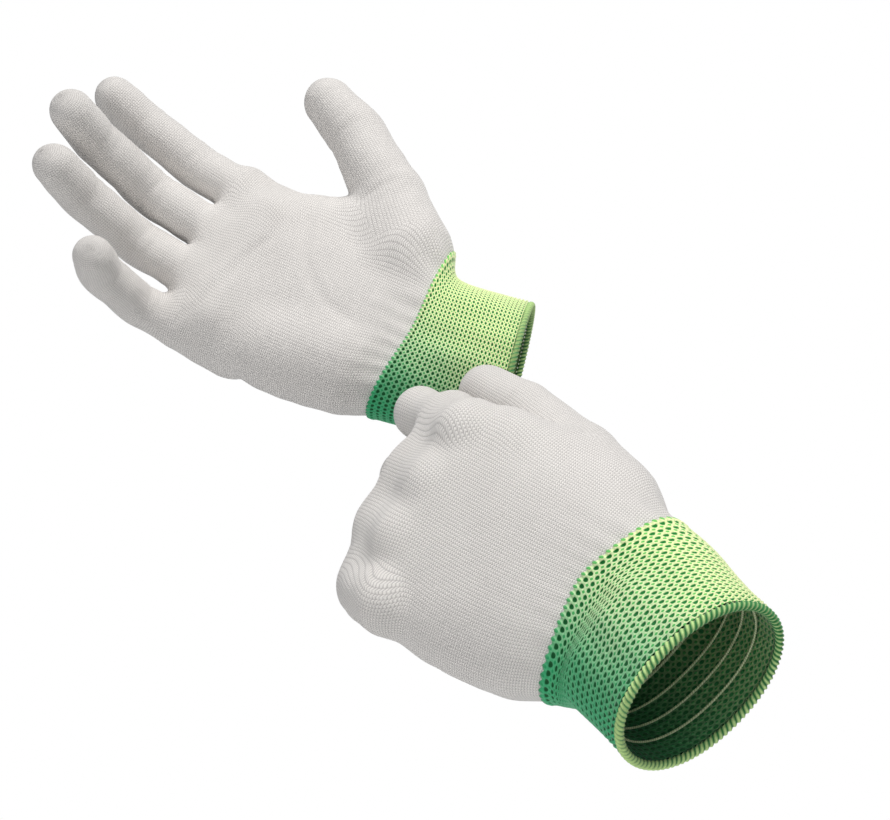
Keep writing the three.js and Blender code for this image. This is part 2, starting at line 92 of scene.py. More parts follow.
# x, half width share, half depth share, sideways, outwards
STATIONS = np.array([
    [2, .372, .662, 0, .5], [10, .389, .634, 0, .5], [18, .41, .6, 0, .5],
    [34, .465, .59, -1, 1.5], [52, .497, .565, -1.4, 1.8],
    [70, .505, .525, -1, 1.2], [86, .5, .47, -.4, .3], [98, .488, .42, .1, 0], [116, .475, .34, .4, 0],
])
RIGHT = {
    "side": -1, "hinge": 1, "wrist": (11.5, 0), "fold": 3,
    "index": (-2, 5, 18), "middle": (9, 5, 37), "ring": (10, 6, 34), "little": (15, 0, 49),
    "thumb": (45, -2, 28, 10, 13), "wales": 84, "courses": 24, "seed": 3, "border": (-2.5, -5.0, -1.0, 0),
}
LEFT = {
    "side": 1, "hinge": -1, "wrist": (-15, 24), "fold": 28,
    "index": (6, -1, 65), "middle": (28, 1, 72), "ring": (38, 0, 66), "little": (36, 2, 60),
    "thumb": (27, 16, -40, 16, 8), "wales": 66, "courses": 19, "seed": 8, "border": (-8.0, 0, .5, 3.0),
}
LEFT_WRIST = (66.5, -86.0, -105.5)
LEFT_FINGERWARD = (-0.901, 0.311, 0.304)
LEFT_THUMBWARD = (0.268, -0.155, 0.951)


# ---------------------------------------------------------------- small helpers
def unit(v):
    v = np.asarray(v, float)
    return v / np.linalg.norm(v)


def smooth(t):
    t = np.clip(t, 0, 1)
    return t * t * (3 - 2 * t)


def ramp(t, soft=0.16):
    """0 to 1 at an almost even rate, eased only at its two ends."""
    t = np.clip(t, 0, 1)
    k = 1 / (2 * soft * (1 - soft))
    low = k * t * t
    high = 1 - k * (1 - t) ** 2
    middle = (t - soft / 2) / (1 - soft)
    return np.where(t < soft, low, np.where(t > 1 - soft, high, middle))


def smin(a, b, k):
    h = np.clip(0.5 + 0.5 * (b - a) / k, 0, 1)
    return b * (1 - h) + a * h - k * h * (1 - h)


def spin(points, pivot, axis, angle):
    """points turned about an axis through pivot, each by its own angle in radians."""
    axis = unit(axis)
    v = points - pivot
    c = np.cos(angle)[:, None]
    s = np.sin(angle)[:, None]
    return pivot + v * c + np.cross(axis, v) * s + axis * (v @ axis)[:, None] * (1 - c)


def ripple(points, seed, count, low, high):
    """Smooth waves of mixed direction, about -1 to 1; low and high are wavelengths."""
    rng = np.random.default_rng(seed)
    total = np.zeros(len(points))
    for _ in range(count):
        k = unit(rng.normal(size=3)) * 2 * math.pi / rng.uniform(low, high)
        total += np.sin(points @ k + rng.uniform(0, 6.28) + 0.8 * np.sin(points @ k[[1, 2, 0]] * 0.6))
    return total / math.sqrt(count)


# ---------------------------------------------------------------- the hand, straight
def station(x):
    """half width, half depth, sideways and outward shift of the palm at x."""
    xs = STATIONS[:, 0]
    i = np.clip(np.searchsorted(xs, x) - 1, 0, len(xs) - 2)
    h = xs[i + 1] - xs[i]
    t = np.clip((x - xs[i]) / h, 0, 1)
    values = []
    for column, scale in ((1, PALM_WIDTH), (2, PALM_DEPTH), (3, 1), (4, 1)):
        y = STATIONS[:, column] * scale
        m = np.gradient(y, xs)
        values.append((2 * t**3 - 3 * t**2 + 1) * y[i] + (t**3 - 2 * t**2 + t) * h * m[i]
                      + (-2 * t**3 + 3 * t**2) * y[i + 1] + (t**3 - t**2) * h * m[i + 1])
    return values


def palm_field(p):
    x, y, z = p.T
    a, b, aside, out = station(x)
    n = 2.35
    q = (np.abs((y - aside) / a) ** n + np.abs((z - out) / b) ** n) ** (1 / n)
    tube = (q - 1) * np.minimum(a, b) * 0.95
    cap = x - 112.5 + 0.2 * np.maximum(0, -y - 12)
    return -smin(-tube, -cap, 5)


def cone(p, a, b, ra, rb):
    a = np.asarray(a, float)
    d = np.asarray(b, float) - a
    t = np.clip((p - a) @ d / (d @ d), 0, 1)
    return np.linalg.norm(p - a - t[:, None] * d, axis=1) - (ra + (rb - ra) * t)


class Finger:
    """One finger of a glove, straight, and how it is bent at rest."""

    def __init__(self, name, glove):
        along, across, fan, bones, self.wide, self.deep, self.tip, spread = FINGERS[name]
        web = WEB_AT - (LITTLE_STEP if name == "little" else 0)
        fan_r = math.radians(fan)
        past = (web - along) / math.cos(fan_r)
        self.name = name
        self.root = np.array([web, across + past * math.sin(fan_r), 0.0])
        s = math.radians(spread)
        self.d = np.array([math.cos(s), math.sin(s), 0])
        self.l = np.array([-math.sin(s), math.cos(s), 0])
        self.first = bones[0] - past
        self.second = self.first + bones[1]
        self.end = self.second + bones[2]
        root, aside, pip = (math.radians(v) for v in glove[name])
        self.root_angle = root
        self.aside_angle = fan_r + aside - s
        self.pip_angle = pip
        self.lift = np.array([0, 0, HINGE_OFFSET * glove["hinge"]])

    def local(self, p):
        q = p - self.root
        return q @ self.d, q @ self.l, q[:, 2]

    def field(self, p):
        s, y, z = self.local(p)
        w = self.wide + .35
        at = [-20, 0, self.first - 9, self.first, self.first + 11,
              self.second, self.second + 9, self.end - self.tip]
        r = [w - .2, w, w * .985, w * 1.02, w * .97, w * .975, w * .945, self.tip + .2]
        c = np.clip(s, 0, self.end - self.tip)
        flat = 1 + (self.deep / w - 1) * (1 - c / self.end)
        return np.sqrt((s - c) ** 2 + y**2 + (z / flat) ** 2) - np.interp(c, at, r)

    def bend(self, p):
        """p, straight, to where it is at rest, before the knuckle fold."""
        s, _, _ = self.local(p)
        hinges = ((self.second, 9.0, self.pip_angle * DIP_SHARE), (self.first, 12.0, self.pip_angle))
        for at, half, angle in hinges:
            low = max(1.0, at - half)
            turned = ramp((s - low) / (at + half - low)) * angle
            p = spin(p, self.root + self.d * at + self.lift, -self.l, turned)
        p = spin(p, self.root + self.lift, -self.l, smooth((s + 15) / 27) * self.root_angle)
        return spin(p, self.root, (0, 0, 1), smooth((s + 13) / 26) * self.aside_angle)


class Glove:
    """Shape of one glove's hand, and the map from glove coordinates to the row's."""

    def __init__(self, name, spec):
        self.name = name
        self.spec = spec
        self.fingers = [Finger(n, spec) for n in FINGERS]
        aside, out, roll, self.thumb_root, self.thumb_tip = (math.radians(v) for v in spec["thumb"])
        x = np.array([math.cos(aside) * math.cos(out), math.sin(aside) * math.cos(out), math.sin(out)])
        inward = unit(np.array([0, -1, 0]) + x * x[1])
        other = np.cross(x, inward)
        if other[2] < 0:
            other = -other
        z = inward * math.cos(roll) + other * math.sin(roll)
        self.tx, self.tz, self.ty = x, z, np.cross(z, x)
        self.joint = THUMB_BASE + x * THUMB_BONES[0]
        self.tip_joint = self.joint + x * THUMB_BONES[1]
        self.thumb_end = self.tip_joint + x * THUMB_BONES[2]
        self.make_map()

    def make_map(self):
        if self.spec["side"] < 0:
            at, x, _, z = self.cuff_frame(CUFF_LENGTH)
            flip = np.array([1.0, -1, 1])
            out = -x * flip
            palm = z * flip
            up = np.cross(out, palm)
            m = np.stack([out, -palm, -up], 1)
            self.turn = (np.diag(flip) @ m).T
            self.shift = -(at * flip) @ m
        else:
            d = unit(LEFT_FINGERWARD)
            r = np.array(LEFT_THUMBWARD)
            r = unit(r - (r @ d) * d)
            self.turn = np.stack([d, r, np.cross(d, r)], 1)
            self.shift = np.array(LEFT_WRIST)

    def world(self, p):
        return (np.asarray(p) @ self.turn.T + self.shift) * MM

    def cuff_frame(self, s):
        """Centre and axes of the cuff's section, s from the yarn change towards the opening."""
        a, b = (math.radians(v) for v in self.spec["wrist"])
        at = np.array([BORDER_AT, 0, .5])

        def aim(t):
            w = smooth(t / WRIST_BLEND)
            level = math.cos(a * w)
            return np.array([-level * math.cos(b * w), math.sin(a * w), -level * math.sin(b * w)])
        for i in range(24):
            at = at + aim((i + .5) / 24 * s) * s / 24
        x = -unit(aim(s))
        z = np.array([0, 0, 1.0])
        z = unit(z - (z @ x) * x)
        return at, x, np.cross(z, x), z

    def border(self, angle):
        """Where the yarn changes, s from the wrist end of the hand: thumb side, palm, little side, back."""
        thumb, palm, little, back = self.spec["border"]
        c, d = np.cos(angle), np.sin(angle)
        return -(thumb * np.maximum(c, 0) ** 2 + little * np.maximum(-c, 0) ** 2
                 + palm * np.maximum(d, 0) ** 2 + back * np.maximum(-d, 0) ** 2)

    def follow_cuff(self, p):
        """Points behind the wrist end turn with the cuff."""
        p = p.copy()
        for k in np.flatnonzero(p[:, 0] < BORDER_AT):
            at, _, y, z = self.cuff_frame(BORDER_AT - p[k, 0])
            p[k] = at + y * p[k, 1] + z * (p[k, 2] - .5)
        return p

    def thumb_field(self, p):
        end = self.thumb_end - self.tx * 10
        swell = THUMB_BASE + self.tx * 20
        a = cone(p, THUMB_BASE, swell, 9.5, 15.5)
        b = cone(p, swell, self.joint, 15.5, 14.0)
        c = cone(p, self.joint, self.tip_joint, 13.8, 12.3)
        d = cone(p, self.tip_joint, end, 12.4, 10.6)
        return smin(smin(a, b, 4), smin(c, d, 1.5), 2)

    def field(self, p):
        f = palm_field(p)
        fingers = [g.field(p) for g in self.fingers]
        roots = fingers[0]
        for g in fingers[1:]:
            roots = smin(roots, g, 2.2)
        for a, b in zip(self.fingers, self.fingers[1:]):
            roots = smin(roots, cone(p, a.root - a.d * 4, b.root - b.d * 4, 8.0, 7.6), 4)
        for g in self.fingers:
            knuckle = np.array([g.root[0] - 23, g.root[1] - 1.2, -5.5])
            f = smin(f, cone(p, knuckle, knuckle + [9, 0, 2], 10.2, 9.4), 5)
        f = smin(f, roots, 7)
        # pads of the palm: heel, and the row below the fingers
        f = smin(f, cone(p, (36, -21, 5), (62, -25, 4), 15, 12.5), 9)
        f = smin(f, cone(p, (93, 22, 4), (92, -24, 4), 10.5, 10), 8)
        f = smin(f, self.thumb_field(p), 10)
        reach = THUMB_BASE + self.tx * THUMB_BONES[0] * .6
        f = smin(f, cone(p, reach, (73, 32, 1), 9.0, 7.5), 11)
        return f

    def gradient(self, p, e=.3):
        return np.stack([self.field(p + o) - self.field(p - o) for o in np.eye(3) * e], 1) / (2 * e)

    def settle(self, p, rounds=3):
        for _ in range(rounds):
            g = self.gradient(p)
            p = p - g * (self.field(p) / np.maximum((g**2).sum(1), .2))[:, None]
        return p

    def thumb_share(self, p):
        """1 on the thumb, 0 on the rest of the hand."""
        rest = palm_field(p)
        for g in self.fingers:
            rest = np.minimum(rest, g.field(p))
        return smooth((rest - self.thumb_field(p) + 4) / 8)

    def bend(self, p):
        """The straight hand's points to where they are at rest."""
        share = self.thumb_share(p)
        offs = np.stack([np.abs(g.local(p)[1]) for g in self.fingers], 1)
        own = np.stack([g.field(p) for g in self.fingers], 1).argmin(1)
        soft = np.exp(-(offs / 9) ** 2) + 1e-9
        soft /= soft.sum(1, keepdims=True)
        along = np.stack([g.local(p)[0] for g in self.fingers], 1)
        t = smooth(((along * soft).sum(1) - 1) / 12)[:, None]
        weight = soft * (1 - t) + np.eye(4)[own] * t
        total = np.zeros_like(p)
        for i, g in enumerate(self.fingers):
            total += g.bend(p) * weight[:, i:i + 1]
        hinge = self.spec["hinge"]
        fold = smooth((p[:, 0] - (FOLD_AT - 13)) / 26) * math.radians(self.spec["fold"])
        total = spin(total, np.array([FOLD_AT, 0, FOLD_OFFSET * hinge]), (0, -1, 0), fold)
        s = (p - THUMB_BASE) @ self.tx
        lift = self.tz * THUMB_OFFSET * hinge
        thumb = spin(p, self.tip_joint + lift, -self.ty, ramp((s - 79 + 10) / 20) * self.thumb_tip)
        thumb = spin(thumb, self.joint + lift, -self.ty, ramp((s - 46 + 11) / 22) * self.thumb_root)
        return total * (1 - share)[:, None] + thumb * share[:, None]

    def finger_point(self, g, s):
        """A point of a finger's centre line at rest."""
        p = g.bend((g.root + g.d * s)[None])
        fold = np.array([math.radians(self.spec["fold"])])
        return spin(p, np.array([FOLD_AT, 0, FOLD_OFFSET * self.spec["hinge"]]), (0, -1, 0), fold)[0]

    def thumb_point(self, s):
        lift = self.tz * THUMB_OFFSET * self.spec["hinge"]
        p = (THUMB_BASE + self.tx * s)[None]
        p = spin(p, self.tip_joint + lift, -self.ty, ramp(np.array([(s - 69) / 20])) * self.thumb_tip)
        return spin(p, self.joint + lift, -self.ty, ramp(np.array([(s - 35) / 22])) * self.thumb_root)[0]


def surface(field, low, high, h):
    """The zero surface of field as vertices and quads."""
    axes = [np.arange(a, b + h, h) for a, b in zip(low, high)]
    n = [len(a) for a in axes]
    grid = np.stack(np.meshgrid(*axes, indexing="ij"), -1).reshape(-1, 3)
    v = np.empty(len(grid))
    for i in range(0, len(grid), 200000):
        v[i:i + 200000] = field(grid[i:i + 200000])
    v = v.reshape(n)
    inside = v < 0
    corners = [(a, b, c) for a in (0, 1) for b in (0, 1) for c in (0, 1)]

    def block(values, o):
        return values[o[0]:n[0] - 1 + o[0], o[1]:n[1] - 1 + o[1], o[2]:n[2] - 1 + o[2]]
    count = sum(block(inside, o).astype(int) for o in corners)
    active = (count > 0) & (count < 8)
    index = -np.ones(active.shape, int)
    index[active] = np.arange(active.sum())
    place = np.zeros(active.shape + (3,))
    hits = np.zeros(active.shape)
    for a in corners:
        for k in range(3):
            if a[k] == 0:
                b = list(a)
                b[k] = 1
                va, vb = block(v, a), block(v, tuple(b))
                m = (va < 0) != (vb < 0)
                t = np.where(m, va / np.where(m, va - vb, 1), 0)
                for j in range(3):
                    place[..., j] += (a[j] + (t if j == k else 0)) * m
                hits += m
    cells = np.argwhere(active)
    verts = np.array(low) + (cells + place[active] / hits[active][:, None]) * h
    quads = []
    for k in range(3):
        o = [0, 0, 0]
        o[k] = 1
        a = inside[:n[0] - o[0], :n[1] - o[1], :n[2] - o[2]]
        b = inside[o[0]:, o[1]:, o[2]:]
        edges = np.argwhere(a != b)
        u, w = [(1, 2), (2, 0), (0, 1)][k]
        keep = (edges[:, u] > 0) & (edges[:, w] > 0)
        keep &= (edges[:, u] < active.shape[u]) & (edges[:, w] < active.shape[w])
        edges = edges[keep]
        sign = a[tuple(edges.T)]

        def at(du, dw):
            q = edges.copy()
            q[:, u] -= du
            q[:, w] -= dw
            return index[tuple(q.T)]
        quad = np.stack([at(1, 1), at(0, 1), at(0, 0), at(1, 0)], 1)
        quad[~sign] = quad[~sign][:, ::-1]
        quads.append(quad)
    return verts, np.concatenate(quads)


def vertex_normals(v, faces):
    n = np.cross(v[faces[:, 2]] - v[faces[:, 0]], v[faces[:, 3]] - v[faces[:, 1]])
    total = np.zeros_like(v)
    for k in range(4):
        np.add.at(total, faces[:, k], n)
    return total / np.maximum(np.linalg.norm(total, axis=1, keepdims=True), 1e-12)


# ---------------------------------------------------------------- meshes
def make_object(name, verts, faces, uv, normals=None, materials=(), indices=None):
    """A mesh object of quads; uv holds one pair per face corner."""
    mesh = bpy.data.meshes.new(name)
    mesh.vertices.add(len(verts))
    mesh.vertices.foreach_set("co", np.asarray(verts, np.float32).ravel())
    mesh.loops.add(faces.size)
    mesh.loops.foreach_set("vertex_index", faces.astype(np.int32).ravel())
    mesh.polygons.add(len(faces))
    mesh.polygons.foreach_set("loop_start", np.arange(0, faces.size, 4, dtype=np.int32))
    mesh.polygons.foreach_set("loop_total", np.full(len(faces), 4, np.int32))
    mesh.polygons.foreach_set("use_smooth", np.ones(len(faces), bool))
    if indices is not None:
        mesh.polygons.foreach_set("material_index", np.asarray(indices, np.int32))
    layer = mesh.uv_layers.new(name="knit")
    layer.data.foreach_set("uv", np.asarray(uv, np.float32).ravel())
    mesh.update(calc_edges=True)
    for m in materials:
        mesh.materials.append(m)
    if normals is not None:
        mesh.normals_split_custom_set_from_vertices(np.asarray(normals, np.float32))
    obj = bpy.data.objects.new(name, mesh)
    bpy.context.scene.collection.objects.link(obj)
    return obj


def arc_table(a, b, n, count=2048):
    """Angle of a rounded oval for an even run of arc, 0 to 1."""
    t = np.linspace(0, 2 * math.pi, count + 1)
    y = a * np.sign(np.cos(t)) * np.abs(np.cos(t)) ** (2 / n)
    z = b * np.sign(np.sin(t)) * np.abs(np.sin(t)) ** (2 / n)
    run = np.concatenate([[0], np.cumsum(np.hypot(np.diff(y), np.diff(z)))])
    return t, run / run[-1]


def around(angle, table):
    t, run = table
    return np.interp(np.mod(angle, 2 * math.pi), t, run)


PALM_TABLE = arc_table(41.0, 16.0, 2.35)


def over_tip(s, end, r):
    """Length along the fabric, which curves over the round tip."""
    past = np.clip((s - (end - r)) / r, 0, 1)
    return np.where(s > end - r, end - r + r * np.arcsin(past), s)


def knit_lines(glove, p, chart):
    """u counts wales round the glove and v counts courses along it, for palm, finger or thumb."""
    if chart == "palm":
        a, b, aside, out = station(p[:, 0])
        u = (p[:, 1] - aside) / a
        w = (p[:, 2] - out) / b
        n = 2.35
        angle = np.arctan2(np.sign(w) * np.abs(w) ** (n / 2), np.sign(u) * np.abs(u) ** (n / 2))
        return np.stack([around(angle, PALM_TABLE) * 172, p[:, 0] / .88], 1), 172
    if chart == "thumb":
        q = p - THUMB_BASE
        angle = np.arctan2(q @ glove.tz, q @ glove.ty)
        run = over_tip(q @ glove.tx, sum(THUMB_BONES), 10.6)
        return np.stack([np.mod(angle / (2 * math.pi), 1) * 66, run / .88], 1), 66
    s, y, z = chart.local(p)
    run = over_tip(s, chart.end, chart.tip + .2)
    return np.stack([np.mod(np.arctan2(z, y) / (2 * math.pi), 1) * 54, run / .88], 1), 54


def wrinkles(glove, p):
    """How far the fabric stands off the smooth hand, mm."""
    x, y, z = p.T
    seed = glove.spec["seed"]
    angle = np.arctan2(z, y)
    d = .16 * ripple(p, seed, 7, 20, 46)
    stretched = p * np.array([1.0, .35, .35])
    d += .10 * ripple(stretched, seed + 1, 6, 7, 14)
    near = np.exp(-np.maximum(x - BORDER_AT, 0) / 11)
    d += near * (.30 * np.cos(23 * angle + 1.5 * ripple(p, seed + 2, 3, 30, 60)) - .25)
    share = glove.thumb_share(p)
    for g in glove.fingers:
        s, fy, fz = g.local(p)
        mine = (1 - share) * np.exp(-np.maximum(np.hypot(fy, fz) - 12, 0) / 2) * (s > -6)
        bent = min(1.0, g.pip_angle / .8)
        for at, k in ((g.first, 1.0), (g.second, .7)):
            wave = fz * .05 + .6 * np.sin(fy * .35 + at)
            line = np.exp(-((s - at - wave) / 1.5) ** 2) + .6 * np.exp(-((s - at + 3.4 + wave) / 1.2) ** 2)
            palmside = smooth(fz / 7 + .3)
            d -= mine * palmside * line * .55 * k * (.35 + bent)
            back = smooth(-fz / 7)
            d += mine * back * .35 * k * np.exp(-((s - at) / 6) ** 2)
    s = (p - THUMB_BASE) @ glove.tx
    tz = (p - THUMB_BASE) @ glove.tz
    for at in (46.0, 79.0):
        d -= share * smooth(tz / 8 + .2) * .5 * np.exp(-((s - at) / 1.8) ** 2)
    # creases of the palm: round the thumb pad, and two across below the fingers
    palm = smooth((z - 4) / 6) * (1 - share)
    round_thumb = np.hypot(x - 30, (y - 40) * .95) - 47
    d -= palm * .55 * np.exp(-(round_thumb / 2.2) ** 2) * smooth((x - 24) / 14) * smooth((96 - x) / 14)
    head = x - (84 + .0045 * (y - 30) ** 2 * np.sign(30 - y))
    d -= palm * .32 * np.exp(-(head / 2.0) ** 2) * smooth((34 - y) / 18)
    heart = x - (97 - .006 * (y + 34) ** 2)
    d -= palm * .35 * np.exp(-(heart / 1.9) ** 2) * smooth((22 - y) / 16)
    return d


# ---------------------------------------------------------------- patterns in node form
class Num:
    """A number in a node tree, so that a pattern reads as a formula."""

    def __init__(self, tree, socket):
        self.tree = tree
        self.socket = socket

    def op(self, kind, *others, clamp=False):
        node = self.tree.nodes.new("ShaderNodeMath")
        node.operation = kind
        node.use_clamp = clamp
        for i, value in enumerate((self,) + others):
            if isinstance(value, Num):
                self.tree.links.new(value.socket, node.inputs[i])
            else:
                node.inputs[i].default_value = value
        return Num(self.tree, node.outputs[0])

    def __add__(self, o):
        return self.op("ADD", o)

    def __sub__(self, o):
        return self.op("SUBTRACT", o)

    def __mul__(self, o):
        return self.op("MULTIPLY", o)

    def fract(self):
        return self.op("FRACT")

    def abs(self):
        return self.op("ABSOLUTE")

    def sin(self):
        return self.op("SINE")

    def cos(self):
        return self.op("COSINE")

    def sqrt(self):
        return self.op("SQRT")

    def map(self, a, b, c=0.0, d=1.0):
        """a to b becomes c to d, eased and held at both ends."""
        node = self.tree.nodes.new("ShaderNodeMapRange")
        node.interpolation_type = "SMOOTHSTEP"
        self.tree.links.new(self.socket, node.inputs["Value"])
        for name, value in (("From Min", a), ("From Max", b), ("To Min", c), ("To Max", d)):
            node.inputs[name].default_value = value
        return Num(self.tree, node.outputs["Result"])


class Material:
    """A fabric's node tree: knit coordinates, noise, colours, bump."""

    def __init__(self, name):
        self.material = bpy.data.materials.new(name)
        self.material.use_nodes = True
        self.tree = self.material.node_tree
        self.shader = self.tree.nodes["Principled BSDF"]
        coords = self.tree.nodes.new("ShaderNodeTexCoord")
        self.object = coords.outputs["Object"]
        split = self.tree.nodes.new("ShaderNodeSeparateXYZ")
        uv = self.tree.nodes.new("ShaderNodeUVMap")
        uv.uv_map = "knit"
        self.tree.links.new(uv.outputs["UV"], split.inputs[0])
        self.u = Num(self.tree, split.outputs[0])
        self.v = Num(self.tree, split.outputs[1])

    def noise(self, scale, detail=2.0, rough=.5):
        node = self.tree.nodes.new("ShaderNodeTexNoise")
        node.inputs["Scale"].default_value = scale
        node.inputs["Detail"].default_value = detail
        node.inputs["Roughness"].default_value = rough
        self.tree.links.new(self.object, node.inputs["Vector"])
        return Num(self.tree, node.outputs["Fac"])

    def along(self, direction, centre, span):
        """0 to 1 across the piece, along a direction of the object."""
        node = self.tree.nodes.new("ShaderNodeVectorMath")
        node.operation = "DOT_PRODUCT"
        self.tree.links.new(self.object, node.inputs[0])
        d = unit(direction)
        node.inputs[1].default_value = d
        value = Num(self.tree, node.outputs["Value"])
        return (value - float(np.dot(d, centre))) * (1 / span) + .5

    def mix(self, fac, a, b, kind="MIX"):
        node = self.tree.nodes.new("ShaderNodeMix")
        node.data_type = "RGBA"
        node.blend_type = kind
        node.clamp_factor = True
        if isinstance(fac, Num):
            self.tree.links.new(fac.socket, node.inputs[0])
        else:
            node.inputs[0].default_value = fac
        for value, socket in ((a, node.inputs[6]), (b, node.inputs[7])):
            if isinstance(value, tuple):
                socket.default_value = value + (1,)
            else:
                self.tree.links.new(value, socket)
        return node.outputs[2]

    def grey(self, value):
        node = self.tree.nodes.new("ShaderNodeCombineColor")
        for i in range(3):
            self.tree.links.new(value.socket, node.inputs[i])
        return node.outputs[0]

    def finish(self, colour, height, distance, rough, sheen, strength=1.0):
        self.tree.links.new(colour, self.shader.inputs["Base Color"])
        bump = self.tree.nodes.new("ShaderNodeBump")
        bump.inputs["Distance"].default_value = distance
        bump.inputs["Strength"].default_value = strength
        self.tree.links.new(height.socket, bump.inputs["Height"])
        self.tree.links.new(bump.outputs["Normal"], self.shader.inputs["Normal"])
        self.shader.inputs["Roughness"].default_value = rough
        self.shader.inputs["Sheen Weight"].default_value = sheen
        self.shader.inputs["Sheen Roughness"].default_value = .5
        self.shader.inputs["Specular IOR Level"].default_value = .25
        return self.material


def srgb(r, g, b):
    """An 8-bit colour as linear values."""
    return tuple(round(((c / 255 + .055) / 1.055) ** 2.4 if c > 10 else c / 3295, 4) for c in (r, g, b))


def hand_material():
    m = Material("knit_white_yarn")
    side = (m.u.fract() - .5).abs() * 2
    leg = (m.v + side * .5).fract()
    loop = (leg * math.pi).sin()
    ridge = ((m.u.fract() * math.pi).sin()).sqrt()
    height = loop * ridge
    fibres = m.noise(2600, 3, .7)
    tone = m.noise(38, 3, .6)
    yarn = m.mix(tone, srgb(226, 222, 218), srgb(238, 235, 231))
    # painted shade: the low gaps between the knit's loops are painted a darker grey than the yarn
    valley_shade = m.mix(tone, srgb(178, 174, 172), srgb(196, 192, 189))
    colour = m.mix(height.map(.0, .7), valley_shade, yarn)
    colour = m.mix(.18, colour, m.grey(fibres.map(.3, .7, .8, 1.15)), "MULTIPLY")
    relief = height + fibres * .35
    return m.finish(colour, relief, .00022, .92, .3, .7)


def cuff_material(name, gradient, skew, inner=False):
    """Open two-yarn knit: cream loops over green, a dot between, and a dark hole in each loop; painted light
    pales the upper side and painted shade greens and darkens the underside.
    """
    m = Material(name)
    u = m.u + m.v * skew
    hx, hy = u.fract() - .5, m.v.fract() - .5
    point = (hy * .9 + .75)
    hole = ((hx * hx) * 9.0 * point + (hy * hy) * 9.6).sqrt()
    dx, dy = (u + .5).fract() - .5, (m.v + .5).fract() - .5
    dot = ((dx * dx) * 21.0 + (dy * dy) * 30.0).sqrt()
    # painted light and shade: g runs from 0 on the shaded underside of the cuff to 1 on its lit upper side,
    # its edge roughened by noise
    g = m.along(*gradient)
    blur = m.noise(60, 2) - .5
    g = g + blur * .18
    # the cream loops, the green yarn and the holes are painted paler where light falls and deeper green in
    # the painted shade below
    cream = m.mix(g.map(.3, .95), srgb(206, 236, 188), srgb(255, 255, 196))
    cream = m.mix(g.map(.12, .62), srgb(64, 178, 122), cream)
    green = m.mix(g.map(.1, .95), srgb(26, 152, 94), srgb(112, 208, 98))
    dark = m.mix(g.map(.1, .95), srgb(2, 84, 42), srgb(20, 132, 52))
    fibres = m.noise(1900, 3, .7)
    # the two plies of the loop's yarn, and the green yarn that shows beside each loop
    ply = (((u + m.v * .9) * (4 * math.pi)).sin() * .5 + .5)
    leg = ((hx.abs() - hy.abs()).abs()).map(.10, .26)
    yarn = m.mix(ply * .12 + leg * .2, cream, green)
    colour = m.mix(dot.map(.8, 1.15), green, yarn)
    # painted shade: each hole is painted dark green, green yarn darkened by the shade in the opening
    colour = m.mix(hole.map(.72, 1.0), dark, colour)
    colour = m.mix(.25, colour, m.grey(fibres.map(.3, .7, .72, 1.2)), "MULTIPLY")
    if inner:
        colour = m.mix(.72, colour, srgb(16, 104, 48))
    relief = hole.map(.5, 1.3) + dot.map(.6, 1.2) * .4 + fibres * .3 + ply * .2
    return m.finish(colour, relief, .0003, .8, .25, .7)


def yarn_material(name, a, b, turns=2.0):
    m = Material(name)
    ply = ((m.u * turns + m.v) * (2 * math.pi)).sin() * .5 + .5
    fibres = m.noise(1700, 3, .7)
    colour = m.mix(ply, a, b)
    colour = m.mix(.3, colour, m.grey(fibres.map(.3, .7, .7, 1.2)), "MULTIPLY")
    return m.finish(colour, ply + fibres * .5, .0002, .78, .25, .7)


HAND_KNIT = hand_material()


